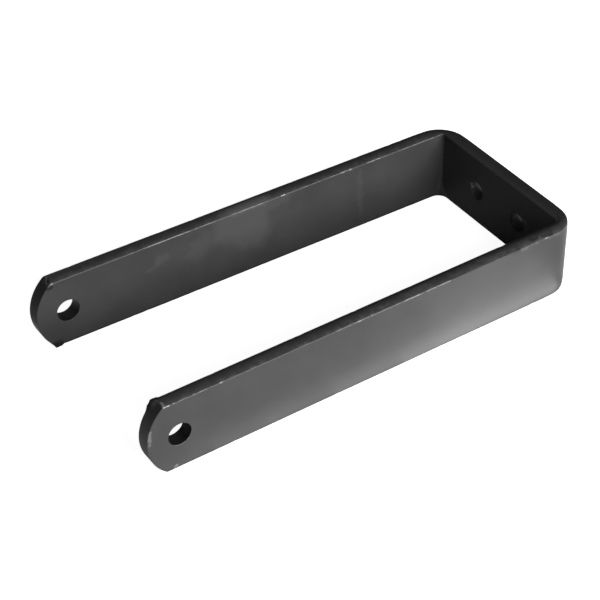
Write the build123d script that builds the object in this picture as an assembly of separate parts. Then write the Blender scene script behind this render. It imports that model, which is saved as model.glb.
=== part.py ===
from build123d import *
from math import cos, radians, sin, sqrt, tan
import os

# Leaf spring clamp: one flat steel bar with rolled edges, bent flatwise into a U.
# Its web lies across a pack of spring leaves, its legs pass down both sides of the pack,
# and a cross bolt through the two ears keeps the leaves in line.
# The U lies on the edge of the bar: +X points to the web, Y runs across the legs, and Z is the bar's width.
# The origin is at the foot of the box round the part, in its middle.

# Driving dimensions, in millimetres and degrees

bar_width = 40.0
bar_thickness = 8.0
edge_crown = 0.6  # how far the rolled edges of the bar bow out
arris_radius = 0.6  # the small round where a rolled edge meets a flat face
inside_width = 95.0  # between the legs, where they meet the web
overall_length = 250.0
inside_bend_radius = 5.5
outside_bend_radius = 15.0  # larger than the inside radius and the bar together, so the bend is drawn thin
leg_opening = 0.55  # how far each leg springs back past square
end_bow = 10.0  # how far the round end of an ear stands out past its two corners
end_edge_break = 0.3
bolt_hole_diameter = 12.0
bolt_hole_from_end = 17.0
rivet_hole_diameter = 10.0
rivet_hole_spacing = 34.0
hole_edge_break = 0.2

# Derived values

lean = radians(leg_opening)
web_outside = overall_length / 2
web_inside = web_outside - bar_thickness
ear_tip = -overall_length / 2
ear_corner = ear_tip + end_bow
mid_height = bar_width / 2
end_radius = (mid_height**2 + end_bow**2) / (2 * end_bow)
arris_height = mid_height - edge_crown
bolt_x = ear_tip + bolt_hole_from_end
crown_reach = 0.6 * bar_thickness  # from mid thickness to a little past the flat faces
crop_allowance = bar_width / 2  # spare bar past the ears, which the crop takes off
leg_run = (overall_length + crop_allowance) / cos(lean)
across_everything = 2 * (inside_width + 2 * bar_thickness + leg_run * sin(lean))


def u_points(depth):
    """Gives the four corners of the U on the line that lies this deep in the bar from its inside face."""
    corner = Vector(web_inside + depth, inside_width / 2 + depth * tan(radians(45) - lean / 2), 0)
    end = corner + Vector(-cos(lean), sin(lean), 0) * leg_run
    return [end, corner, Vector(corner.X, -corner.Y, 0), Vector(end.X, -end.Y, 0)]


def bent_blank():
    """Makes the bent bar with square edges, drawn thin round its two bends."""
    with BuildPart() as blank:
        with BuildSketch(Plane.XY):
            with BuildLine():
                outside = FilletPolyline(*u_points(bar_thickness), radius=outside_bend_radius)
                inside = FilletPolyline(*u_points(0), radius=inside_bend_radius)
                Line(outside @ 0, inside @ 0)
                Line(outside @ 1, inside @ 1)
            make_face()
        extrude(amount=bar_width)
    return blank.part


def rolled_envelope():
    """Sweeps the bowed edges of the bar along the U, a little wider than the bar is thick."""
    middle_radius = (inside_bend_radius + outside_bend_radius) / 2
    with BuildLine() as route:
        middle = FilletPolyline(*u_points(bar_thickness / 2), radius=middle_radius)
    crown_radius = ((bar_thickness / 2) ** 2 + edge_crown**2) / (2 * edge_crown)
    shoulder = mid_height - crown_radius + sqrt(crown_radius**2 - crown_reach**2)
    start = (middle @ 0) + Vector(0, 0, mid_height)
    with BuildSketch(Plane(origin=start, x_dir=(sin(lean), cos(lean), 0), z_dir=middle % 0)) as section:
        with BuildLine():
            upper = ThreePointArc((-crown_reach, shoulder), (0, mid_height), (crown_reach, shoulder))
            lower = ThreePointArc((-crown_reach, -shoulder), (0, -mid_height), (crown_reach, -shoulder))
            Line(upper @ 0, lower @ 0)
            Line(upper @ 1, lower @ 1)
        make_face()
    return sweep(section.sketch, path=route.wire().moved(Location((0, 0, mid_height))))


def long_arrises(bar):
    """Finds the edges along the U where the rolled edges meet the flat faces."""
    found = []
    for edge in bar.edges().filter_by(Axis.Z, reverse=True):
        height = edge.position_at(0.5).Z
        if abs(abs(height - mid_height) - arris_height) < edge_crown / 2:
            found.append(edge)
    return found


def cropped_waste():
    """Makes the waste that a round die crops off the ends of both legs."""
    die_x = ear_tip + end_radius
    waste_length = end_radius + 2 * crop_allowance
    waste = Box(waste_length, across_everything, 2 * bar_width)
    waste = Location((die_x - waste_length / 2, 0, mid_height)) * waste
    die = Cylinder(end_radius, across_everything, rotation=(90, 0, 0))
    return waste - Location((die_x, 0, mid_height)) * die


def end_edges(bar):
    """Finds the long curved edges of the two cropped ends."""
    found = []
    for edge in bar.edges():
        past_corners = edge.position_at(0.5).X < ear_corner
        if past_corners and edge.length > bar_width / 2 and not edge.is_closed:
            found.append(edge)
    return found


def hole_rims(bar):
    """Finds the round edges of all four holes, on both faces of the bar."""
    return [edge for edge in bar.edges() if edge.is_closed]


strap = (bent_blank() & rolled_envelope()) - cropped_waste()

bolt_hole = Cylinder(bolt_hole_diameter / 2, across_everything, rotation=(90, 0, 0))
strap -= Location((bolt_x, 0, mid_height)) * bolt_hole
rivet_hole = Cylinder(rivet_hole_diameter / 2, 2 * bar_thickness, rotation=(0, 90, 0))
web_middle = Location((web_outside - bar_thickness / 2, 0, mid_height))
for place in GridLocations(0, rivet_hole_spacing, 1, 2):
    strap -= web_middle * place * rivet_hole

strap = fillet(long_arrises(strap), arris_radius)
strap = fillet(end_edges(strap), end_edge_break)
strap = chamfer(hole_rims(strap), hole_edge_break)

os.makedirs("parts", exist_ok=True)
export_step(strap, "parts/clamp_strap.step")
print("clamp strap: valid", strap.is_valid, "volume", round(strap.volume), "mm3")
print("box", strap.bounding_box())
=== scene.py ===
import logging
from dataclasses import dataclass, field
from enum import Enum
from math import atan2, cos, pi, radians, sin, sqrt, tan
from typing import Any

import bmesh
import bpy
import numpy as np
from bpy.types import Material, Mesh, Node, NodeSocket, NodeTree, Object
from mathutils import Matrix, Vector, noise


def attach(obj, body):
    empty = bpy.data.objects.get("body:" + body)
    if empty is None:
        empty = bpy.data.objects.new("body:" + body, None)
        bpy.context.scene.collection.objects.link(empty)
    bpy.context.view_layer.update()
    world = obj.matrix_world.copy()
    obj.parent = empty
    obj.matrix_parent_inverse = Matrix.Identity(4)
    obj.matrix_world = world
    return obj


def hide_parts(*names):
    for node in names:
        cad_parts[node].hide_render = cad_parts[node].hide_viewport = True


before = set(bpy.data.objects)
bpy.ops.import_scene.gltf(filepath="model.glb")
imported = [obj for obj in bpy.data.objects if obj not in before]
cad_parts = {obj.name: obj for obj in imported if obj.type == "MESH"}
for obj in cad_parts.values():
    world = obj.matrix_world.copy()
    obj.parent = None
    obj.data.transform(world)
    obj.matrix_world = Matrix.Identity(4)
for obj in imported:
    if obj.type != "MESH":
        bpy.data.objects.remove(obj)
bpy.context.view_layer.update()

MM = 0.001
BODY = "root"
log = logging.getLogger("leaf_spring_clamp")
SMOOTH = "SMOOTHSTEP"
# Short names for the types that come up most
Array = np.ndarray
Pair = tuple[float, float]
Point = tuple[float, float, float]
Floats = tuple[float, ...]
Feed = Node | NodeSocket


class Leg(Enum):
    """The two legs of the clamp, each with the sign of its Y."""

    NEAR = -1
    FAR = 1


class Side(Enum):
    """The sides of the bar, in order round it: two flat faces, and the two rolled edges between them."""

    INSIDE = 0
    TOP = 1
    OUTSIDE = 2
    FOOT = 3


FACES = (Side.INSIDE, Side.OUTSIDE)


def linear(hex_colour: str) -> tuple[float, float, float, float]:
    """Turns an sRGB hex colour into the linear colour that a node takes.

    Args:
        hex_colour: six hex digits, with or without a leading hash.

    Returns:
        Linear red, green and blue, and an alpha of 1.
    """
    digits = hex_colour.lstrip("#")
    parts = [int(digits[i : i + 2], 16) / 255 for i in (0, 2, 4)]
    turned = [c / 12.92 if c <= 0.04045 else ((c + 0.055) / 1.055) ** 2.4 for c in parts]
    return (*turned, 1.0)


def add_node(tree: NodeTree, kind: str, links: dict[Any, Any], **settings: Any) -> Node:
    """Adds a shader node with its settings, its input values and its links.

    Args:
        tree: the node tree that the node goes into.
        kind: the node's type name, without the ShaderNode that each one starts with.
        links: for each input, by name or number, its value, or the socket or the node that feeds it.
        settings: attributes to set on the node.

    Returns:
        The new node.
    """
    node = tree.nodes.new("ShaderNode" + kind)
    for name, value in settings.items():
        setattr(node, name, value)
    for name, value in links.items():
        if isinstance(value, Feed):
            tree.links.new(value.outputs[0] if isinstance(value, Node) else value, node.inputs[name])
        else:
            node.inputs[name].default_value = value
    return node


def empty_material(name: str) -> tuple[Material, NodeTree]:
    """Makes a material with no nodes.

    Args:
        name: the material's name.

    Returns:
        The new material and its node tree.
    """
    material = bpy.data.materials.new(name)
    material.use_nodes = True
    material.node_tree.nodes.clear()
    return material, material.node_tree


def ramp(values: Array, start: float, end: float) -> Array:
    """Rises from 0 at one value to 1 at another, which may lie below it, and stays level beyond them."""
    return np.clip((values - start) / (end - start), 0, 1)


@dataclass(frozen=True)
class Stroke:
    """A short mark on the paint between two points in millimetres, which fades out past its core."""

    start: Point
    end: Point
    width: float
    strength: float
    core: float = 0.3

    def faded(self, gap: Feed) -> dict[str, Any]:
        """Gives the inputs of a range that turns the distance from the stroke into its strength."""
        core = self.core * self.width
        return {"Value": gap, "From Min": self.width, "From Max": core, "To Max": self.strength}


def strokes_from(*rows: tuple[Point, Point, float, float]) -> tuple[Stroke, ...]:
    """Makes strokes from rows of a start, an end, a width and a strength."""
    return tuple(Stroke(*row) for row in rows)


# Bare steel: worn arrises and scrapes, and painted highlights where glints fall
SCRAPES_AND_GLINTS = strokes_from(
    # The near leg's outer top arris, from the ear to the bend: worn, and partly painted highlights of its
    # glints
    ((-114.7, -54.5, 39.8), (-114.9, -57.6, 39.7), 0.9, 0.8),
    ((-114.9, -57.6, 39.7), (-112.4, -57.6, 39.6), 0.8, 0.7),
    ((-110.3, -57.7, 39.6), (-109.5, -57.7, 39.6), 0.7, 0.5),
    ((-106.5, -57.6, 39.5), (-103.5, -57.5, 39.5), 0.6, 0.2),
    ((-99.5, -57.5, 39.5), (-93, -57.4, 39.5), 0.6, 0.25),
    ((-85.4, -57.3, 39.5), (-84.5, -57.3, 39.5), 0.7, 0.6),
    ((-22, -56.7, 39.4), (17, -56.4, 39.4), 0.6, 0.2),
    ((-9.8, -56.6, 39.5), (-8.8, -56.6, 39.5), 0.7, 0.5),
    ((-2.8, -56.5, 39.5), (-1, -56.5, 39.5), 0.6, 0.45),
    ((17.4, -56.3, 39.5), (19.4, -56.3, 39.5), 0.7, 0.5),
    ((20, -56.3, 39.4), (44, -56.1, 39.4), 0.6, 0.42),
    ((102.7, -55.5, 39.5), (103.5, -55.5, 39.5), 0.8, 0.7),
    # The far leg's inner top arris, worn, with painted glints, and a painted highlight on its top
    ((15.6, 48.6, 39.5), (17.4, 48.6, 39.5), 0.8, 0.9),
    ((-13, 51.4, 40), (5, 51.4, 40), 4.5, 0.09),
    ((51, 48.3, 39.4), (58, 48.2, 39.4), 0.7, 0.6),
    ((68, 48.1, 39.4), (76, 48, 39.4), 0.7, 0.6),
    # Painted highlights: glints on the near ear's round end, and on the rim below its bolt hole
    ((-123, -57.8, 28.4), (-123.2, -57.8, 26.8), 1.3, 0.3),
    ((-123.3, -57.8, 25.6), (-123.4, -57.8, 23.6), 1.5, 0.3),
    ((-123.6, -57.8, 21.6), (-123.6, -57.8, 21.2), 1, 0.3),
    ((-102.1, -57.6, 18.4), (-104.1, -57.6, 15.3), 0.5, 0.35),
    ((-104.1, -57.6, 15.3), (-108, -57.7, 13.9), 0.5, 0.35),
    ((-108, -57.7, 13.9), (-111, -57.7, 14.7), 0.5, 0.3),
    # Painted highlights: the glints in the rivet holes' rims
    ((117.3, 21.7, 21.8), (118.3, 21.9, 19.2), 0.9, 0.55),
    ((118.3, 21.9, 19.2), (118.7, 21, 17.2), 0.7, 0.3),
    ((117, -20.6, 25), (117, -22.6, 24.2), 0.7, 0.3),
    ((117, -22.6, 24.2), (117, -24.2, 22.8), 0.7, 0.3),
    # Painted highlights: glints on the near ear's foot, the far ear's corner and the top of the far bend
    ((-112, -57.7, 1.8), (-110.6, -57.7, 2.4), 0.8, 0.5),
    ((-115.1, 55.4, 39.8), (-116.8, 52.3, 38.6), 0.8, 0.35),
    ((-117, 50.5, 38.6), (-115, 49.6, 39.2), 1, 0.4),
    ((113.2, 47, 39.6), (116, 46.9, 39.7), 0.9, 0.7),
)

# Lighter patches, inside the far leg and then on the legs' tops, where they are painted highlights
LIGHTER_PATCHES = strokes_from(
    ((-15, 48.8, 34), (-2, 48.6, 33), 17, 0.5),
    ((-8, 48.8, 26), (-1, 48.7, 23), 15, 0.5),
    ((9, 48.5, 37), (16, 48.4, 39), 9, 0.4),
    ((-36, 49, 24), (-31, 48.9, 29), 10, 0.3),
    ((-62.3, 49.2, 25), (-53.6, 49.1, 29), 3, 0.34),
    ((-53.6, 49.1, 29), (-35.3, 49, 32), 4, 0.14),
    ((63.6, 48, 36.7), (64.4, 48, 7.5), 2.2, 0.3),
    # Painted highlights on the legs' tops
    ((-18, 51.5, 40), (8, 51.5, 40), 5, 1),
    ((0, -53.6, 39.7), (9, -54.6, 39.6), 1.6, 0.8),
    ((19, -53.2, 39.8), (31, -52.4, 39.8), 3.2, 0.8),
    ((64, -52.4, 39.8), (78, -53.2, 39.8), 2.8, 0.7),
    ((88, -55, 39.6), (111, -54.6, 39.6), 2.2, 0.9),
    ((111, -54, 39.6), (121, -50.5, 39), 4, 0.9),
)

# Dark patches: painted shade in the far ear's dent and over the web's top, and dark spots at the near ear's
# inside corner and on the near leg's top
DARK_PATCHES_AND_SHADE = strokes_from(
    # Painted shade in the far ear's dent
    ((-116.8, 49.7, 37), (-115.4, 49.6, 37.5), 1.5, 0.9),
    ((-117.4, -49.8, 37), (-114.4, -49.8, 39.8), 3, 1),
    ((95, -52.4, 39.8), (99, -53.6, 39.7), 1.7, 0.5),
    ((102.5, -53.6, 39.7), (107, -54.4, 39.6), 1.7, 0.6),
    ((83, -55.2, 39.5), (86, -55.4, 39.4), 1.3, 0.6),
    # Painted shade over the web's top
    ((118, 48, 40), (121, 36, 40), 6, 0.5),
    ((121, 10, 40), (121, -30, 40), 5, 0.3),
)


@dataclass(frozen=True)
class Lumps:
    """An uneven pattern in the paint: how far apart its lumps lie, and how many octaves of finer ones it has.

    It starts to show where the pattern passes one level, and shows most past another. Where it shifts a place
    about, its most is how far apart the shifts lie, in millimetres.
    """

    size_mm: float
    octaves: float = 2.0
    fineness: float = 0.5
    starts: float = 0.0
    full: float = 1.0
    most: float = 1.0

    def at(self, point: Feed) -> dict[str, Any]:
        """Gives the inputs of a noise with these lumps, at a place in millimetres."""
        scale = 1 / self.size_mm
        return {"Vector": point, "Scale": scale, "Detail": self.octaves, "Roughness": self.fineness}

    def shown(self, value: Feed) -> dict[str, Any]:
        """Gives the inputs of a range that turns the noise into the part that shows."""
        return {"Value": value, "From Min": self.starts, "From Max": self.full, "To Max": self.most}


def drifted(tree: NodeTree, point: Feed, lumps: Lumps) -> Feed:
    """Shifts a place about in lumps, which gives the strokes that are laid there ragged outlines.

    Args:
        tree: the material's node tree.
        point: the place on the object, in millimetres.
        lumps: the pattern that shifts it.

    Returns:
        The shifted place.
    """
    drift = add_node(tree, "TexNoise", lumps.at(point)).outputs["Color"]
    reach = {0: drift, 1: (lumps.most,) * 3, 2: (-lumps.most / 2,) * 3}
    shift = add_node(tree, "VectorMath", reach, operation="MULTIPLY_ADD")
    return add_node(tree, "VectorMath", {0: point, 1: shift}, operation="ADD")


def lay_strokes(tree: NodeTree, point: Feed, marks: tuple[Stroke, ...], under: Feed) -> Feed:
    """Lays strokes over a mask.

    Args:
        tree: the material's node tree.
        point: the place on the object, in millimetres.
        marks: the strokes.
        under: the mask that they are laid over.

    Returns:
        The mask with the strokes.
    """
    for stroke in marks:
        start = Vector(stroke.start)
        along = Vector(stroke.end) - start
        away = add_node(tree, "VectorMath", {0: point, 1: start}, operation="SUBTRACT")
        both = {0: away, 1: along / along.length_squared}
        share = add_node(tree, "VectorMath", both, operation="DOT_PRODUCT").outputs["Value"]
        held = add_node(tree, "Clamp", {0: share})
        nearest = add_node(tree, "VectorMath", {0: along, "Scale": held}, operation="SCALE")
        both = {0: away, 1: nearest}
        gap = add_node(tree, "VectorMath", both, operation="DISTANCE").outputs["Value"]
        mark = add_node(tree, "MapRange", stroke.faded(gap), interpolation_type=SMOOTH)
        under = add_node(tree, "Math", {0: under, 1: mark}, operation="MAXIMUM")
    return under


@dataclass(frozen=True)
class SatinBlackPaint:
    """Satin black enamel sprayed on hot rolled steel.

    The coat, laid thinly over the mill scale, follows it, so it has a fine grain and soft cloudy patches,
    more of them on the rolled edges, which are lighter towards the front as painted sheen. Its satin sheen
    turns grey where it faces the light. It has lighter patches inside the far leg, and painted highlights on
    the legs' tops. Handling has rubbed it through to steel on the arrises, and more steel shows where glints
    fall, as painted highlights.
    The walls of the holes and the lips of the ears are torn steel, blacker and duller, and painted shade
    darkens the holes, the back and the foot of the bar, the edges towards the web and the far ear's cropped
    end.
    """

    coat: str = "#3B3B3B"
    dusty_and_lit_coat: str = "#565656"
    torn_steel_and_shade: str = "#0E0D0D"
    # Bare steel, also the colour of the painted glints
    steel: str = "#B3B3B1"
    coat_ior: float = 1.5
    roughness: float = 0.48
    dusty_and_lit_roughness: float = 0.6
    torn_and_shade_roughness: float = 0.6
    clouds: Lumps = Lumps(24.0, 3.0, 0.55, 0.3, 0.75, 0.22)
    mottles: Lumps = Lumps(5.0, 5.0, 0.7, 0.4, 0.68, 0.9)
    flecks: Lumps = Lumps(1.6, 4.0, 0.7, 0.88, 1.3, 0.45)
    runs: Lumps = Lumps(14.0)
    # The real grain of a sprayed coat, about 0.1 mm, is too fine to show, so it is drawn this coarse.
    grain: Lumps = Lumps(0.55, 2.0, 0.6)
    grain_depth: float = 0.00003
    grain_strength: float = 0.25
    ragged: Lumps = Lumps(1.6, most=1.6)
    smeared: Lumps = Lumps(6.0, most=9.0)
    scrapes_and_glints: tuple[Stroke, ...] = SCRAPES_AND_GLINTS
    lighter_patches: tuple[Stroke, ...] = LIGHTER_PATCHES
    dark_patches_and_shade: tuple[Stroke, ...] = DARK_PATCHES_AND_SHADE

    def material(self) -> Material:
        """Makes the paint's material.

        Returns:
            The new material.
        """
        material, tree = empty_material("satin_black_enamel")
        place = add_node(tree, "TexCoord", {}).outputs["Object"]
        point = add_node(tree, "VectorMath", {0: place, "Scale": 1 / MM}, operation="SCALE")
        ragged = drifted(tree, point, self.ragged)
        # Bare steel: worn arrises and scrapes, and painted highlights where glints fall
        bare_and_glints = lay_strokes(tree, ragged, self.scrapes_and_glints, self.worn_and_glinting_arrises(tree, point))
        # Dust, with painted sheen on the front of the rolled edges and painted highlights on the tops
        dust_and_sheen = self.dust_and_sheen(tree, point)
        # Torn steel in the holes and the lips, and painted shade on the back, the foot, the web's top and in
        # the holes
        torn_and_shade = add_node(tree, "Attribute", {}, attribute_name="torn_and_shade").outputs["Fac"]
        torn_and_shade = lay_strokes(tree, ragged, self.dark_patches_and_shade, torn_and_shade)
        colour = linear(self.coat)
        # A Mix node takes its two colours in inputs 6 and 7, and gives the mixed one in output 2
        for mask, over in ((dust_and_sheen, self.dusty_and_lit_coat), (torn_and_shade, self.torn_steel_and_shade), (bare_and_glints, self.steel)):
            layers = {0: mask, 6: colour, 7: linear(over)}
            colour = add_node(tree, "Mix", layers, data_type="RGBA").outputs[2]
        sheen = self.roughness
        for mask, over in ((dust_and_sheen, self.dusty_and_lit_roughness), (torn_and_shade, self.torn_and_shade_roughness)):
            sheen = add_node(tree, "MapRange", {"Value": mask, "To Min": sheen, "To Max": over})
        grain = add_node(tree, "TexNoise", self.grain.at(point))
        relief = {"Strength": self.grain_strength, "Distance": self.grain_depth, "Height": grain}
        bump = add_node(tree, "Bump", relief)
        look = {"Base Color": colour, "Metallic": bare_and_glints, "Roughness": sheen, "IOR": self.coat_ior}
        shader = add_node(tree, "BsdfPrincipled", look | {"Normal": bump})
        add_node(tree, "OutputMaterial", {"Surface": shader})
        return material

    def dust_and_sheen(self, tree: NodeTree, point: Feed) -> Feed:
        """Finds how dusty and lit the coat is: soft clouds everywhere, mottles on the rolled edges, which are
        lighter towards the front as painted sheen, and the lighter patches, which on the legs' tops are
        painted highlights.

        Args:
            tree: the material's node tree.
            point: the place on the object, in millimetres.

        Returns:
            A mask, 1 where the coat is lightest.
        """
        shown = []
        for lumps in (self.clouds, self.mottles):
            pattern = add_node(tree, "TexNoise", lumps.at(point))
            shown.append(add_node(tree, "MapRange", lumps.shown(pattern), interpolation_type=SMOOTH))
        # The rolled edges are lighter towards the front: painted sheen
        rolled = add_node(tree, "Attribute", {}, attribute_name="rolled").outputs["Fac"]
        edges = add_node(tree, "Math", {0: rolled, 1: shown[1]}, operation="MULTIPLY")
        both = add_node(tree, "Math", {0: shown[0], 1: edges}, operation="MAXIMUM")
        return lay_strokes(tree, drifted(tree, point, self.smeared), self.lighter_patches, both)

    def worn_and_glinting_arrises(self, tree: NodeTree, point: Feed) -> Feed:
        """Finds where handling has rubbed the arrises through to the steel, in broken dashes, which on the
        arrises that face the front also stand in for their glints, as painted highlights.

        Args:
            tree: the material's node tree.
            point: the place on the object, in millimetres.

        Returns:
            A mask, 1 on worn steel and on painted glints.
        """
        rubbed = add_node(tree, "Attribute", {}, attribute_name="rubbed").outputs["Fac"]
        flecks = add_node(tree, "TexNoise", self.flecks.at(point))
        runs = add_node(tree, "TexNoise", self.runs.at(point))
        both = add_node(tree, "Math", {0: flecks, 1: runs}, operation="ADD")
        lifted = add_node(tree, "Math", {0: both, 1: rubbed}, operation="MULTIPLY")
        return add_node(tree, "MapRange", self.flecks.shown(lifted), interpolation_type=SMOOTH)


@dataclass(frozen=True)
class CropBurr:
    """A lip of steel that the crop dragged out of one corner of an ear, beside the inside face.

    It stands out past the end by an amount for each depth below the bar's edge, and fills the corner up by an
    amount for each X. Its outline is ragged, and it is torn where it was pulled furthest.
    """

    leg: Leg
    edge: Side
    width: float
    depths: Floats
    reaches: Floats
    fill_x: Floats
    fills: Floats
    from_end: float = 1.6
    fill_depth: float = 5.0
    overfill: float = 1.05
    ragged_size: float = 0.9
    ragged: Pair = (0.85, 0.3)
    torn_reach: float = 0.6
    torn_fill: float = 0.4


NEAR_EAR_LIP = CropBurr(
    leg=Leg.NEAR,
    edge=Side.TOP,
    width=2.6,
    depths=(0, 0.6, 1.4, 2, 2.5, 3.2, 4.2, 5.6, 6.5),
    reaches=(2.5, 2.6, 2, 1.2, 1.7, 1.6, 0.8, 0.1, 0),
    fill_x=(-115.2, -114.6, -114, -113.2),
    fills=(1, 0.9, 0.3, 0),
)
FAR_EAR_LIP = CropBurr(
    leg=Leg.FAR,
    edge=Side.FOOT,
    width=2,
    depths=(0, 0.6, 1.3, 2.7),
    reaches=(1.9, 1.3, 0.6, 0),
    fill_x=(-114.9, -114.5, -113.6, -112.4),
    fills=(1, 0.55, 1, 0),
)


@dataclass(frozen=True)
class Handling:
    """The slow waves that rolling and bending leave in the bar, and the knocks of handling.

    Each wave has a length and a depth. Each known knock has its X, Y and Z, its radius and its depth. The
    others lie anywhere along the arrises, and the top arrises that face -Y have the deeper ones.
    """

    seed: int = 7
    waves: tuple[Pair, ...] = ((42.0, 0.13), (9.0, 0.03))
    knocks: int = 44
    known_knocks: tuple[Floats, ...] = (
        (83.5, -56.2, 39.5, 1.6, 0.5),
        (99.5, -56.0, 39.5, 1.6, 0.45),
        (102.5, -56.0, 39.5, 1.2, 0.35),
    )
    along: Pair = (-113, 108)
    outer_share: float = 0.5
    top_share: float = 0.6
    radii: Pair = (1.0, 1.8)
    front_depths: Pair = (0.12, 0.3)
    other_depths: Pair = (0.05, 0.12)
    from_edge: float = 0.7
    rubbed: float = 0.9

    def depths(self, points: Array, strap: "ClampStrap") -> tuple[Array, Array]:
        """Works out how far the surface is pressed in, and where a knock has rubbed it.

        Args:
            points: places on the surface, in millimetres.
            strap: the strap that they lie on.

        Returns:
            How deep each point is pressed in, and how rubbed it is, from 0 to 1.
        """
        depth = np.zeros(len(points))
        for size, drop in self.waves:
            lumps = np.array([noise.noise(Vector(point / size)) for point in points])
            depth += drop * np.clip(0.5 + 0.5 * lumps, 0, 1)
        rubbed = np.zeros(len(points))
        rng = np.random.default_rng(self.seed)
        knocks = list(self.known_knocks)
        for _ in range(self.knocks):
            x = rng.uniform(*self.along)
            side = rng.choice([-1, 1])
            outer = rng.random() < self.outer_share
            y = side * (strap.outside_y(x) if outer else strap.inside_y(x))
            top = rng.random() < self.top_share
            z = strap.bar_width - self.from_edge if top else self.from_edge
            to_front = top and outer == (side < 0)
            drop = rng.uniform(*(self.front_depths if to_front else self.other_depths))
            knocks.append((x, y, z, rng.uniform(*self.radii), drop))
        for x, y, z, radius, drop in knocks:
            gap = np.linalg.norm(points - (x, y, z), axis=1)
            near = np.clip(1 - (gap / radius) ** 2, 0, 1)
            depth += drop * near
            rubbed = np.maximum(rubbed, self.rubbed * near)
        return depth, rubbed


@dataclass(frozen=True)
class Wear:
    """How dark and how rubbed the paint is in each place, from 0 to 1, and how far the place reaches.

    The dark is torn steel in the holes, and painted shade there and on the back, the foot, the edges towards
    the web and the far ear's end. The rolled edges are lighter towards the front, as painted sheen.
    """

    # The rolled edges: lighter and dusty towards the front, as painted sheen,
    # and darker towards the back and the web, as painted shade
    edge_band: float = 2.0
    steep: Pair = (0.5, 0.9)
    backward: Point = (1.5, 2.4, 0.0)
    webward: Pair = (106.0, 116.0)
    clean: float = 0.8
    shade_behind: float = 0.55
    shade_webward: float = 0.35
    shade_most: float = 0.7
    rolled_rub: float = 0.82
    # Painted shade: darker along the foot, the back arrises and the far ear's cropped end
    inner_foot: Pair = (2.0, 1.0)
    inner_foot_shade: float = 0.9
    sole: Pair = (1.1, 0.6)
    sole_shade: float = 0.54
    back_band: float = 1.2
    back_from: float = 0.9
    end_band: float = 0.2
    end_shade: float = 0.6
    # The arrises, from a flat face across each one, and how much more or less some of them are rubbed
    face_rub: float = 0.55
    arris_rubs: Floats = (1.0, 1.0, 0.5)
    end_rubs: Floats = (0.4, 0.8, 0.9, 0.4)
    rim_rubs: Floats = (0.25, 0.6, 0.6, 0.1)
    band: float = 2.0
    arris_band: float = 0.7
    web_rub: float = 0.3
    near_rub: float = 0.85
    far_rub: Pair = (0.6, 1.15)
    past_ear: Pair = (-100.0, -80.0)
    short_of_web: float = 6.0
    # The walls of the holes: torn steel, and painted shade, which round the near rivet hole reaches onto its
    # rim
    wall: float = 0.01
    near_rim: float = 0.6
    near_rivet_shade: float = 0.8
    far_rivet_shade: float = 0.2


@dataclass(frozen=True)
class BarOutline:
    """The outline of the bar's section, as a closed row of points from the foot of the inside face.

    Each lies at a share of the bar's thickness plus a set-in, at a height, and has an outward direction.
    """

    share: Array
    set_in: Array
    height: Array
    out_across: Array
    out_up: Array
    rubbed: Array
    rows: int
    edge: int

    def side(self, side: Side) -> Array:
        """Gives the numbers of the points on one side, from its foot up or from the inside face across."""
        ends = np.cumsum([0, self.rows, self.edge, self.rows, self.edge])
        return np.arange(*ends[side.value : side.value + 2])[:: 1 if side in (Side.INSIDE, Side.TOP) else -1]


@dataclass(frozen=True)
class HolePatch:
    """A round hole: the numbers of the points of the patch that it replaces on each face, and its place.

    Its centre is an X on an ear, or a Y on the web, where there is no leg.
    """

    grids: dict[Side, Array]
    centre: float
    radius: float
    leg: Leg | None


@dataclass
class MeshStore:
    """Collects the points, the quads and the rubbed share of a mesh."""

    points: list[Array] = field(default_factory=list)
    rubbed: list[Array] = field(default_factory=list)
    quads: list[Array] = field(default_factory=list)
    count: int = 0

    def add(self, points: Array, rubbed: Array) -> Array:
        """Adds points.

        Args:
            points: their places in millimetres, in rows of three.
            rubbed: how rubbed each one is, from 0 to 1.

        Returns:
            The numbers of the new points.
        """
        self.points.append(points)
        self.rubbed.append(rubbed)
        self.count += len(points)
        return np.arange(self.count - len(points), self.count)

    def join(self, first: Array, second: Array, closed: bool) -> None:
        """Joins two rows of points of the same length with quads.

        Args:
            first: the numbers of the first row.
            second: the numbers of the second row.
            closed: whether the rows are rings.
        """
        quads = np.stack([first, second, np.roll(second, -1), np.roll(first, -1)], axis=1)
        self.quads.append(quads if closed else quads[:-1])


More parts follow.
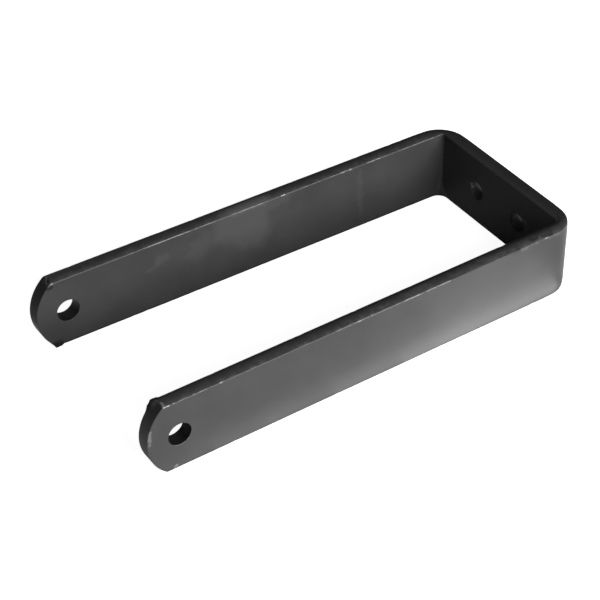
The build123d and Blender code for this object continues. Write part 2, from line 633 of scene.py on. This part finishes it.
@dataclass
class ClampStrap:
    """The clamp itself: one flat bar with rolled edges, bent into a U, with cropped ears and holes."""

    bar_width: float = 40.0
    bar_thickness: float = 8.0
    edge_crown: float = 0.6
    arris_radius: float = 0.6
    inside_width: float = 95.0
    overall_length: float = 250.0
    inside_bend_radius: float = 5.5
    outside_bend_radius: float = 15.0
    leg_opening: float = 0.55
    end_bow: float = 10.0
    end_edge_break: float = 0.3
    bolt_hole_radius: float = 6.0
    bolt_hole_from_end: float = 17.0
    rivet_hole_radius: float = 5.0
    rivet_hole_spacing: float = 34.0
    hole_edge_break: float = 0.2
    # How the mesh is laid out, in rows, stations and the patches that the holes replace
    face_rows: Floats = (1.4, 2.0, 2.5, 3.0, 3.5, 4.0, 4.5)
    edge_columns: Floats = (1.4, 2.6, 4.0, 5.4, 6.6)
    web_grid_half: int = 26
    web_spare: int = 16
    bend_steps: int = 16
    leg_steps: int = 173
    ear_root: float = -95.0
    ear_columns: int = 30
    end_row_squeeze: float = 0.985
    bolt_patch: tuple[int, int] = (4, 22)
    bolt_patch_heights: Pair = (11.0, 29.0)
    rivet_patch: tuple[int, int] = (9, 25)
    rivet_patch_heights: Pair = (12.0, 28.0)
    patch_shares: Floats = (0.3, 0.58, 0.8, 0.93)
    wall_rings: int = 4
    # What bending did: the outer arrises drawn in, and the inside pinched sharper above the foot
    drawn_depth: float = 0.45
    drawn_reach: float = 5.0
    drawn_turn: Pair = (-0.35, 1.95)
    crease_radius: float = 1.6
    crease_rise: Pair = (3.0, 10.0)
    crease_share: float = 0.6
    # How closely a point has to lie in a bend and behind a face, and how far worn edges stay inside the box
    slack: float = 0.01
    face_slack: float = 1.0
    skin: float = 0.001
    wear: Wear = Wear()
    finish: SatinBlackPaint = SatinBlackPaint()
    handling: Handling = Handling()
    lips: tuple[CropBurr, ...] = (NEAR_EAR_LIP, FAR_EAR_LIP)

    @property
    def lean(self) -> float:
        """Gives how far each leg leans out, in radians."""
        return radians(self.leg_opening)

    @property
    def web_inside(self) -> float:
        """Gives the X of the web's inside face."""
        return self.overall_length / 2 - self.bar_thickness

    @property
    def bolt_x(self) -> float:
        """Gives the X of the bolt holes."""
        return -self.overall_length / 2 + self.bolt_hole_from_end

    @property
    def end_radius(self) -> float:
        """Gives the radius of the cropped end of an ear."""
        half = self.bar_width / 2
        return (half**2 + self.end_bow**2) / (2 * self.end_bow)

    def inside_y(self, x: Array | float) -> Array | float:
        """Gives the Y of a leg's inside face at an X."""
        return self.inside_width / 2 + (self.web_inside - x) * tan(self.lean)

    def outside_y(self, x: Array | float) -> Array | float:
        """Gives the Y of a leg's outside face at an X."""
        corner = self.inside_width / 2 + self.bar_thickness * tan(radians(45) - self.lean / 2)
        return corner + (self.overall_length / 2 - x) * tan(self.lean)

    def outline(self) -> BarOutline:
        """Makes the outline of the bar's section, with its rounded arrises and bowed edges.

        Returns:
            The outline.
        """
        half_thick = self.bar_thickness / 2
        crown_radius = (half_thick**2 + self.edge_crown**2) / (2 * self.edge_crown)
        crown_centre = self.bar_width - crown_radius
        reach = half_thick - self.arris_radius
        lift = sqrt((crown_radius - self.arris_radius) ** 2 - reach**2)
        arris_centre = crown_centre + lift
        turn = atan2(lift, -reach)
        fine = np.array([self.bar_width - arris_centre, *self.face_rows])
        coarse = np.arange(fine[-1] + 0.5, self.bar_width - fine[-1])
        rows = np.r_[fine, coarse, self.bar_width - fine[::-1]]
        turns = np.linspace(pi, turn, len(self.wear.arris_rubs) + 1)[1:]
        across = np.array(self.edge_columns) - half_thick
        plain, flat = np.ones(len(rows)), np.zeros(len(across))
        arris = self.arris_radius * (1 + np.cos(turns))
        rise = arris_centre + self.arris_radius * np.sin(turns)
        bow = crown_centre + np.sqrt(crown_radius**2 - across**2)
        share = np.r_[turns * 0, across / self.bar_thickness + 0.5, turns * 0 + 1]
        set_in = np.r_[arris, flat, -arris[::-1]]
        height = np.r_[rise, bow, rise[::-1]]
        out_across = np.r_[np.cos(turns), across / crown_radius, -np.cos(turns)[::-1]]
        out_up = np.sqrt(1 - out_across**2)
        rubbed = np.r_[self.wear.arris_rubs, flat, self.wear.arris_rubs[::-1]]
        face_rub = np.where((rows == rows[0]) | (rows == rows[-1]), self.wear.face_rub, 0.0)
        # The foot is the top turned over, and the outside face is the inside one turned round
        top = np.column_stack([share, set_in, height, out_across, out_up, rubbed])
        foot = top[::-1] * (1, 1, -1, 1, -1, 1) + (0, 0, self.bar_width, 0, 0, 0)
        inside = np.column_stack([plain * 0, plain * 0, rows, -plain, plain * 0, face_rub])
        outside = inside[::-1] * (1, 1, 1, -1, 1, 1) + (1, 0, 0, 0, 0, 0)
        columns = np.concatenate([inside, top, outside, foot]).T
        return BarOutline(*columns, rows=len(rows), edge=len(top))

    def route(self, face: Side) -> Array:
        """Lays out one face of the bar from the middle of the web to the root of the far ear.

        Args:
            face: which face.

        Returns:
            The X and Y of its stations.
        """
        inside = face is Side.INSIDE
        web_x = self.web_inside if inside else self.overall_length / 2
        radius = self.inside_bend_radius if inside else self.outside_bend_radius
        line = self.inside_y if inside else self.outside_y
        centre = line(web_x - radius) - radius / cos(self.lean)
        grid, spare = self.web_grid_half, self.web_spare
        points = [(web_x, y) for y in range(grid + 1)]
        points += [(web_x, grid + (centre - grid) * k / spare) for k in range(1, spare)]
        for k in range(self.bend_steps + 1):
            turn = (pi / 2 - self.lean) * k / self.bend_steps
            points.append((web_x - radius + radius * cos(turn), centre + radius * sin(turn)))
        start = points[-1][0]
        for k in range(1, self.leg_steps + 1):
            x = start + (self.ear_root - start) * k / self.leg_steps
            points.append((x, line(x)))
        return np.array(points)

    def end_x(self, height: Array, depth: float) -> Array:
        """Gives the X of the cropped end at some heights, this deep inside it."""
        centre = self.end_radius - self.overall_length / 2
        return centre - np.sqrt((self.end_radius - depth) ** 2 - (height - self.bar_width / 2) ** 2)

    def place(self, along: Array, across: Array | float, height: Array, leg: Leg | None) -> Array:
        """Places points on an ear, or on the web where there is no leg.

        Args:
            along: their X on an ear, or Y on the web.
            across: how far each lies from the inside face.
            height: their Z.
            leg: which leg the ear is on.

        Returns:
            Their places in millimetres.
        """
        if leg is None:
            return np.stack([np.full(len(along), self.web_inside + across), along, height], axis=1)
        inside = self.inside_y(along)
        y = inside + (self.outside_y(along) - inside) * across / self.bar_thickness
        return np.stack([along, leg.value * y, height], axis=1)

    def half_rings(self, outline: BarOutline) -> tuple[Array, Array, int]:
        """Sweeps the outline from the middle of the web to the end of the far ear.

        Args:
            outline: the bar's outline.

        Returns:
            The rings of points, how rubbed each point is, and the number of the ring at the ear's root.
        """
        rings = []
        for start, end in zip(*(self.route(face) for face in FACES)):
            across = end - start
            shares = outline.share + outline.set_in / np.linalg.norm(across)
            rings.append(np.column_stack([start + across * shares[:, None], outline.height]))
        root = len(rings) - 1
        thick = outline.share * self.bar_thickness + outline.set_in
        support = self.end_x(outline.height, 2 * self.end_edge_break)
        for k in range(1, self.ear_columns + 1):
            x = self.ear_root + (support - self.ear_root) * k / self.ear_columns
            rings.append(self.place(x, thick, outline.height, Leg.FAR))
        rubs = [outline.rubbed] * len(rings)
        for angle, rub in zip(np.linspace(0, pi / 2, len(self.wear.end_rubs)), self.wear.end_rubs):
            drawn = self.end_edge_break * (1 - cos(angle))
            height = outline.height - outline.out_up * drawn
            x = self.end_x(height, self.end_edge_break * (1 - sin(angle)))
            rings.append(self.place(x, thick - outline.out_across * drawn, height, Leg.FAR))
            rubs.append(np.maximum(outline.rubbed, rub))
        return np.array(rings), np.array(rubs), root

    def close_end(self, store: MeshStore, outline: BarOutline, ring: Array, leg: Leg) -> None:
        """Closes the cropped end of an ear with a grid.

        Args:
            store: the mesh so far.
            outline: the bar's outline.
            ring: the numbers of the ear's last ring.
            leg: which leg the ear is on.
        """
        inside, top, outside, foot = (outline.side(side) for side in Side)
        thick = (outline.share * self.bar_thickness + outline.set_in)[top]
        drawn = self.end_edge_break
        across = drawn + thick * (1 - 2 * drawn / self.bar_thickness)
        middle = self.bar_width / 2
        grid = [ring[foot]]
        for height in middle + (outline.height[inside[1:-1]] - middle) * self.end_row_squeeze:
            heights = np.full(len(across), height)
            grid.append(store.add(self.place(self.end_x(heights, 0), across, heights, leg), 0 * across))
        rows = np.column_stack([ring[inside], np.array(grid + [ring[top]]), ring[outside]])
        for lower, upper in zip(rows, rows[1:]):
            store.join(lower, upper, closed=False)

    def punch(self, store: MeshStore, patch: HolePatch) -> None:
        """Joins the two faces through a round hole with broken rims.

        Args:
            store: the mesh so far.
            patch: the hole, with the patches of mesh that it replaces.
        """
        middle = self.bar_width / 2
        places = np.concatenate(store.points)
        inside, outside = (border_of(patch.grids[face]) for face in FACES)
        first, last = places[inside], places[outside]
        along = first[:, 1 if patch.leg is None else 0] - patch.centre
        up = first[:, 2] - middle
        turning = np.sign(np.sum(along * np.roll(up, -1) - np.roll(along, -1) * up))
        count = len(first)
        angles = atan2(up[0], along[0]) + turning * 2 * pi * np.arange(count) / count
        broken, thick = self.hole_edge_break, self.bar_thickness
        # Each ring has its share of the way from the patch's border, its radius, its depth and its rub
        near = [(share, patch.radius + broken, 0.0, 0.0) for share in self.patch_shares]
        for turn, rub in zip(np.linspace(0, pi / 2, len(self.wear.rim_rubs)), self.wear.rim_rubs):
            size = patch.radius + broken * (1 - sin(turn))
            near.append((1.0, size, broken * (1 - cos(turn)), rub))
        wall = np.linspace(broken, thick - broken, self.wall_rings + 2)[1:-1]
        rings = near + [(1.0, patch.radius, depth, 0.0) for depth in wall]
        rings += [(share, size, thick - depth, rub) for share, size, depth, rub in reversed(near)]
        chain = [inside]
        for share, size, depth, rub in rings:
            border = first if depth < thick / 2 else last
            along, height = patch.centre + size * np.cos(angles), middle + size * np.sin(angles)
            mixed = border + (self.place(along, depth, height, patch.leg) - border) * share
            chain.append(store.add(mixed, np.full(count, rub)))
        for one, other in zip(chain, chain[1:] + [outside]):
            store.join(one, other, closed=True)

    def build(self) -> Object:
        """Builds the strap's mesh.

        Returns:
            The new object, in metres.
        """
        outline = self.outline()
        half, rubs, root = self.half_rings(outline)
        mirrored = half * np.array([1.0, -1.0, 1.0])
        rings = np.concatenate([mirrored[::-1], half[1:]])
        rubbed = np.concatenate([rubs[::-1], rubs[1:]])
        store = MeshStore()
        numbers = store.add(rings.reshape(-1, 3), rubbed.reshape(-1)).reshape(rings.shape[:2])
        middle = len(half) - 1
        open_cells = np.zeros(numbers.shape, bool)
        patches = []
        for leg in Leg:
            ear = [middle + leg.value * (root + station) for station in self.bolt_patch]
            web = [middle + leg.value * station for station in self.rivet_patch]
            rivet_y = leg.value * self.rivet_hole_spacing / 2
            for ends, heights, centre, radius, side in (
                (ear, self.bolt_patch_heights, self.bolt_x, self.bolt_hole_radius, leg),
                (web, self.rivet_patch_heights, rivet_y, self.rivet_hole_radius, None),
            ):
                stations = slice(min(ends), max(ends) + 1)
                low, high = np.searchsorted(outline.height[: outline.rows], heights)
                grids = {}
                for face in FACES:
                    rows = outline.side(face)[low : high + 1]
                    grids[face] = numbers[stations][:, rows]
                    open_cells[min(ends) : max(ends), rows[:-1] if face is Side.INSIDE else rows[1:]] = True
                patches.append(HolePatch(grids, centre, radius, side))
        after = np.roll(numbers, -1, axis=1)
        cells = np.stack([numbers[:-1], numbers[1:], after[1:], after[:-1]], axis=-1)
        store.quads.append(cells[~open_cells[:-1]])
        for patch in patches:
            self.punch(store, patch)
        self.close_end(store, outline, numbers[0], Leg.NEAR)
        self.close_end(store, outline, numbers[-1], Leg.FAR)
        made, even = finished_object("bent_bar", store)
        self.weather(made.data, even)
        return made

    def weather(self, mesh: Mesh, even: Array) -> None:
        """Gives the plain mesh its waves, knocks and burrs, all inside the bar's own box, and marks its wear,
        its painted sheen and its painted shade.

        Args:
            mesh: the strap's mesh, in metres.
            even: how rubbed each point would be with even wear, from 0 to 1.
        """
        points = np.array([vertex.co for vertex in mesh.vertices]) / MM
        normals = np.array([normal.vector for normal in mesh.vertex_normals])
        rolled, torn_and_shade = self.coat_dust_and_shade(points, normals)
        self.crease(points)
        depth, knocked = self.handling.depths(points, self)
        depth += self.drawn_corners(points)
        points -= normals * depth[:, None]
        for lip in self.lips:
            torn_and_shade = np.maximum(torn_and_shade, self.drag_out(points, lip))
        points[:, 2] = np.clip(points[:, 2], self.skin, self.bar_width - self.skin)
        points[:, 0] = np.clip(points[:, 0], -self.overall_length / 2, self.overall_length / 2)
        rubbed = self.rubbed_and_glinting_arrises(points, even)
        rubbed = np.maximum(rubbed, np.maximum(knocked, self.wear.rolled_rub * rolled))
        for name, values in (("rubbed", rubbed), ("rolled", rolled), ("torn_and_shade", torn_and_shade)):
            mesh.attributes.new(name, "FLOAT", "POINT").data.foreach_set("value", values.astype(np.float32))
        mesh.vertices.foreach_set("co", (points * MM).astype(np.float32).ravel())
        mesh.update()

    def coat_dust_and_shade(self, points: Array, normals: Array) -> tuple[Array, Array]:
        """Finds where the rolled edges are dusty and lighter towards the front, as painted sheen, and where
        the coat is
        dark: torn steel in the holes, and painted shade in the holes, on the back and the foot of the bar, on
        the rolled edges towards the back and the web, and on the far ear's cropped end.

        Args:
            points: the strap's points, in millimetres.
            normals: which way the surface faces at each one.

        Returns:
            How dusty and lit each point is, and how dark its coat, from 0 to 1.
        """
        wear = self.wear
        x, y, z = points.T
        half_width = self.bar_width / 2
        steep = ramp(np.abs(normals[:, 2]), *wear.steep)
        on_edge = np.where(np.abs(z - half_width) > half_width - wear.edge_band, steep, 0)
        # Painted light: each rolled edge is lighter and dustier towards the front, and darker towards the
        # back and the web
        behind = np.clip(0.5 + normals @ np.array(wear.backward), 0, 1)
        webward = ramp(x, *wear.webward)
        rolled = on_edge * (1 - wear.clean * behind) * (1 - wear.clean * webward)
        dark_coat = on_edge * np.clip(wear.shade_behind * behind + wear.shade_webward * webward, 0, wear.shade_most)
        # Painted shade along the inside foot, the sole, the back arrises and the far ear's cropped end
        inner_half = np.abs(y) < self.inside_y(x) + self.bar_thickness / 2
        at_back = (z > self.bar_width - wear.back_band) & (behind > wear.back_from)
        at_end = (y > 0) & (x < self.end_x(np.clip(z, 0, self.bar_width), 0) + wear.end_band)
        up, near = z - half_width, y < 0
        # Painted shade, with torn steel, darkens the walls of the holes, and round the near rivet hole its
        # rim too
        in_bolt = np.hypot(x - self.bolt_x, up) < self.bolt_hole_radius + wear.wall
        reach = self.rivet_hole_radius + np.where(near, wear.near_rim, wear.wall)
        in_rivet = np.hypot(np.abs(y) - self.rivet_hole_spacing / 2, up) < reach
        in_rivet &= x > self.web_inside - self.face_slack
        for place in (
            in_bolt,
            np.where(near, wear.near_rivet_shade, wear.far_rivet_shade) * in_rivet,
            wear.inner_foot_shade * ramp(z, *wear.inner_foot) * inner_half,
            wear.sole_shade * ramp(z, *wear.sole),
            at_back,
            wear.end_shade * at_end,
        ):
            dark_coat = np.maximum(dark_coat, place)
        return rolled, dark_coat

    def rubbed_and_glinting_arrises(self, points: Array, rubbed: Array) -> Array:
        """Rubs some arrises more than others: the far leg's top inside one most, and the web's least. The far
        leg's top inside arris, which faces the front, is partly a painted highlight of its glint.

        Args:
            points: the strap's points, in millimetres.
            rubbed: how rubbed each one would be with even wear, from 0 to 1.

        Returns:
            How rubbed each point is.
        """
        wear = self.wear
        x, y, z = points.T
        on_web = (x > self.web_inside - wear.band) & (np.abs(y) < self.inside_width / 2 - wear.band / 2)
        rubbed[on_web & (x < self.web_inside + wear.band)] *= wear.web_rub
        at_top = z > self.bar_width - wear.band
        far_inside = (y > 0) & (np.abs(y - self.inside_y(x)) < wear.arris_band)
        far_inside &= at_top & (x < self.web_inside - wear.short_of_web)
        at_ear, along_leg = wear.far_rub
        far_rub = at_ear + (along_leg - at_ear) * ramp(x, *wear.past_ear)
        rubbed = np.where(far_inside, rubbed * far_rub, rubbed)
        rubbed[(y < 0) & at_top] *= wear.near_rub
        return rubbed

    def crease(self, points: Array) -> None:
        """Folds the inside of the two bends sharper above the foot, where the press pinched them.

        Args:
            points: the strap's points in millimetres, which are moved.
        """
        radius = self.inside_bend_radius
        centre_x = self.web_inside - radius
        centre_y = self.inside_y(centre_x) - radius / cos(self.lean)
        x, y = points[:, 0] - centre_x, np.abs(points[:, 1]) - centre_y
        turn = np.arctan2(y, x)
        end = pi / 2 - self.lean + self.slack
        in_bend = (x > -self.slack) & (y > -self.slack) & (turn >= -self.slack) & (turn <= end)
        deep = np.clip(np.hypot(x, y) - radius, 0, None)
        held = np.clip(1 - deep / (self.crease_share * self.bar_thickness), 0, 1) ** 2
        rise = ramp(points[:, 2], *self.crease_rise)
        share = rise**2 * (3 - 2 * rise)
        pinch = (radius - self.crease_radius) * share * held * in_bend
        to_leg = (1 - sin(self.lean)) / cos(self.lean)
        points[:, 0] += pinch * (1 - np.cos(turn))
        points[:, 1] += np.sign(points[:, 1]) * pinch * (to_leg - np.sin(turn))

    def drawn_corners(self, points: Array) -> Array:
        """Works out how far bending has drawn in the outer arrises round the two bends.

        Args:
            points: the strap's points, in millimetres.

        Returns:
            How deep each point is drawn in.
        """
        centre_x = self.overall_length / 2 - self.outside_bend_radius
        centre_y = self.outside_y(centre_x) - self.outside_bend_radius
        x, y = points[:, 0] - centre_x, np.abs(points[:, 1]) - centre_y
        turn = np.arctan2(y, x)
        along = np.sin(ramp(turn, *self.drawn_turn) * pi)
        from_outside = np.clip(self.outside_bend_radius - np.hypot(x, y), 0, None)
        from_edge = self.bar_width / 2 - np.abs(points[:, 2] - self.bar_width / 2)
        near = np.clip(1 - (from_outside + from_edge) / self.drawn_reach, 0, 1)
        return self.drawn_depth * along * near**2

    def drag_out(self, points: Array, lip: CropBurr) -> Array:
        """Drags the corner of an ear out into a lip.

        Args:
            points: the strap's points in millimetres, which are moved.
            lip: the lip.

        Returns:
            How torn each point is, from 0 to 1.
        """
        x, y, z = points.T
        sign = 1 if lip.edge is Side.TOP else -1
        below = self.bar_width - z if lip.edge is Side.TOP else z
        across = y * lip.leg.value - self.inside_y(x)
        past = x - self.end_x(np.clip(z, 0, self.bar_width), 0)
        beside = np.where(across > -self.face_slack, np.clip(1 - (across / lip.width) ** 2, 0, 1), 0)
        held = beside * np.clip(1 - past / lip.from_end, 0, 1)
        reach = np.interp(below, lip.depths, lip.reaches, right=0) * held
        least, more = lip.ragged
        places = [Vector(point / lip.ragged_size) for point in points[held > 0]]
        reach[held > 0] *= [least + more * noise.noise(place) for place in places]
        fill = np.interp(x, lip.fill_x, lip.fills) * beside
        fill *= lip.overfill * np.clip(1 - below / lip.fill_depth, 0, 1)
        points[:, 0] = x - reach
        points[:, 2] = z + sign * fill
        return np.clip(reach / lip.torn_reach + fill / lip.torn_fill, 0, 1)

    def dress(self) -> list[Object]:
        """Builds the strap, paints it and sets it on its body.

        Returns:
            The strap's pieces.
        """
        strap = self.build()
        strap.data.materials.append(self.finish.material())
        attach(strap, BODY)
        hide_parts("clamp_strap")
        return [strap]


def border_of(grid: Array) -> Array:
    """Gives the numbers round the border of a grid, in order, from its first corner."""
    return np.r_[grid[:-1, 0], grid[-1, :-1], grid[::-1, -1][:-1], grid[0, ::-1][:-1]]


def finished_object(name: str, store: MeshStore) -> tuple[Object, Array]:
    """Makes a smooth mesh object from collected points, in metres.

    Args:
        name: the object's name.
        store: the points and quads.

    Returns:
        The new object, linked to the scene, and how rubbed each of its points is.
    """
    used, quads = np.unique(np.concatenate(store.quads), return_inverse=True)
    points, rubbed = np.concatenate(store.points)[used], np.concatenate(store.rubbed)[used]
    mesh = bpy.data.meshes.new(name)
    mesh.from_pydata((points * MM).tolist(), [], quads.reshape(-1, 4).tolist())
    work = bmesh.new()
    work.from_mesh(mesh)
    bmesh.ops.recalc_face_normals(work, faces=work.faces)
    work.to_mesh(mesh)
    work.free()
    mesh.shade_smooth()
    made = bpy.data.objects.new(name, mesh)
    bpy.context.scene.collection.objects.link(made)
    return made, rubbed


@dataclass(frozen=True)
class Softbox:
    """A soft rectangular studio lamp that points at the clamp, and that the camera doesn't see."""

    name: str
    azimuth: float
    elevation: float
    distance: float
    width: float
    height: float
    power: float
    target: Point = (0, 0, 0.02)

    def build(self) -> None:
        """Hangs the lamp."""
        turn, tilt = radians(self.azimuth), radians(self.elevation)
        place = Vector((sin(turn) * cos(tilt), -cos(turn) * cos(tilt), sin(tilt))) * self.distance
        hang_lamp(self.name, place, Vector(self.target) - place, self.width, self.height, self.power)


@dataclass(frozen=True)
class FloorGlow:
    """A strip of light just above the floor beside the clamp, which shines up as a bright floor does."""

    name: str
    start_x: float
    end_x: float
    power: float
    near_y: float
    far_y: float
    rise: float = 0.0003

    def build(self) -> None:
        """Lays the strip."""
        place = Vector(((self.start_x + self.end_x) / 2, (self.near_y + self.far_y) / 2, self.rise))
        width, depth = self.end_x - self.start_x, self.far_y - self.near_y
        hang_lamp(self.name, place, Vector((0, 0, 1)), width, depth, self.power)


def hang_lamp(name: str, place: Vector, aim: Vector, width: float, height: float, power: float) -> None:
    """Adds a rectangular lamp that the camera doesn't see.

    Args:
        name: the lamp's name.
        place: where it hangs, in metres.
        aim: the direction that it shines in.
        width: its width in metres.
        height: its height in metres.
        power: its power in watts.
    """
    lamp = bpy.data.lights.new(name, "AREA")
    lamp.shape = "RECTANGLE"
    lamp.size = width
    lamp.size_y = height
    lamp.energy = power
    holder = bpy.data.objects.new(name, lamp)
    holder.location = place
    holder.rotation_euler = aim.to_track_quat("-Z", "Y").to_euler()
    holder.visible_camera = False
    bpy.context.scene.collection.objects.link(holder)


@dataclass(frozen=True)
class StudioPaper:
    """Matt white paper. It glows to the camera alone, which keeps it white round the clamp's shadow."""

    colour: str = "#F2F2F2"
    glow: float = 0.92

    def material(self) -> Material:
        """Makes the paper's material.

        Returns:
            The new material.
        """
        material, tree = empty_material("matt_studio_paper")
        paper = add_node(tree, "BsdfDiffuse", {"Color": linear(self.colour)})
        seen = add_node(tree, "LightPath", {}).outputs["Is Camera Ray"]
        glow = add_node(tree, "Math", {0: seen, 1: self.glow}, operation="MULTIPLY")
        white = add_node(tree, "Emission", {"Color": (1, 1, 1, 1), "Strength": glow})
        both = add_node(tree, "AddShader", {0: paper, 1: white})
        add_node(tree, "OutputMaterial", {"Surface": both})
        return material


@dataclass
class Studio:
    """The plain pale floor, the soft light round it and the camera."""

    floor_size: float = 6.0
    paper: StudioPaper = StudioPaper()
    camera_target: Point = (-0.01054, -0.00737, 0.020)
    camera_distance: float = 0.891
    camera_azimuth: float = -32.64
    camera_elevation: float = 38.56
    camera_roll: float = -1.113
    lens: float = 109.27
    room_level: float = 0.03
    lamps: tuple[Softbox | FloorGlow, ...] = (
        Softbox("key_softbox", 13.5, 17, 1.2, 0.5, 0.35, 13.8),
        Softbox("upper_softbox", 0, 30, 1.4, 0.6, 0.6, 6.4),
        Softbox("side_softbox", 85, 10, 1.4, 0.6, 0.4, 2.1),
        Softbox("top_softbox", 152, 62, 1.4, 0.6, 0.5, 0.6),
        Softbox("back_softbox", 184, 5, 1.4, 0.6, 0.2, 3),
        FloorGlow("floor_glow_ear", -0.12, -0.09, 0.00047, -0.068, -0.0583),
        FloorGlow("floor_glow_quarter", -0.09, -0.06, 0.0009, -0.0677, -0.058),
        FloorGlow("floor_glow_left", -0.06, -0.022, 0.0015, -0.0674, -0.0577),
        FloorGlow("floor_glow_middle", -0.022, 0.018, 0.0023, -0.067, -0.0573),
        FloorGlow("floor_glow_right", 0.018, 0.038, 0.0016, -0.0666, -0.0569),
        FloorGlow("floor_glow_bend", 0.038, 0.12, 0.0082, -0.0665, -0.0568),
        FloorGlow("floor_glow_side", 0.05, 0.12, 0.0022, -0.08, -0.067),
        FloorGlow("floor_glow_front", 0.05, 0.12, 0.006, -0.1, -0.08),
        FloorGlow("floor_glow_behind", -0.13, 0.12, 0.06, 0.059, 0.16),
        FloorGlow("floor_glow_web", 0.128, 0.21, 0.023, -0.055, 0.055),
    )

    def floor(self) -> None:
        """Lays the floor."""
        half = self.floor_size / 2
        mesh = bpy.data.meshes.new("studio_floor")
        corners = [(-half, -half, 0), (half, -half, 0), (half, half, 0), (-half, half, 0)]
        mesh.from_pydata(corners, [], [(0, 1, 2, 3)])
        made = bpy.data.objects.new("studio_floor", mesh)
        bpy.context.scene.collection.objects.link(made)
        mesh.materials.append(self.paper.material())

    def room(self) -> None:
        """Sets the room's own light, and white where the camera looks past the floor."""
        world = bpy.data.worlds.new("studio_room")
        bpy.context.scene.world = world
        world.use_nodes = True
        tree = world.node_tree
        tree.nodes.clear()
        seen = add_node(tree, "LightPath", {}).outputs["Is Camera Ray"]
        level = add_node(tree, "MapRange", {"Value": seen, "To Min": self.room_level, "To Max": 1.0})
        glow = add_node(tree, "Background", {"Color": (1, 1, 1, 1), "Strength": level})
        add_node(tree, "OutputWorld", {"Surface": glow})

    def camera(self) -> None:
        """Sets the camera at the photograph's viewing angle."""
        turn, tilt = radians(self.camera_azimuth), radians(self.camera_elevation)
        look = Vector((-sin(turn) * cos(tilt), cos(turn) * cos(tilt), -sin(tilt)))
        right = Vector((cos(turn), sin(turn), 0))
        stand = Matrix((right, right.cross(look), -look)).transposed()
        roll = Matrix.Rotation(radians(self.camera_roll), 3, "Z")
        eye = bpy.data.cameras.new("photo_camera")
        eye.lens = self.lens
        eye.sensor_width = 36.0
        eye.clip_start = 0.01
        holder = bpy.data.objects.new("photo_camera", eye)
        holder.matrix_world = (stand @ roll).to_4x4()
        holder.location = Vector(self.camera_target) - look * self.camera_distance
        bpy.context.scene.collection.objects.link(holder)
        bpy.context.scene.camera = holder

    def build(self) -> None:
        """Sets up the floor, the room, the lamps and the camera."""
        self.floor()
        self.room()
        for lamp in self.lamps:
            lamp.build()
        self.camera()
        bpy.context.scene.view_settings.view_transform = "Standard"


def main() -> None:
    """Builds the clamp and its studio."""
    logging.basicConfig(level=logging.INFO, format="%(name)s: %(message)s")
    for piece in ClampStrap().dress():
        log.info("%s: %d faces", piece.name, len(piece.data.polygons))
    Studio().build()


if __name__ == "__main__":
    main()
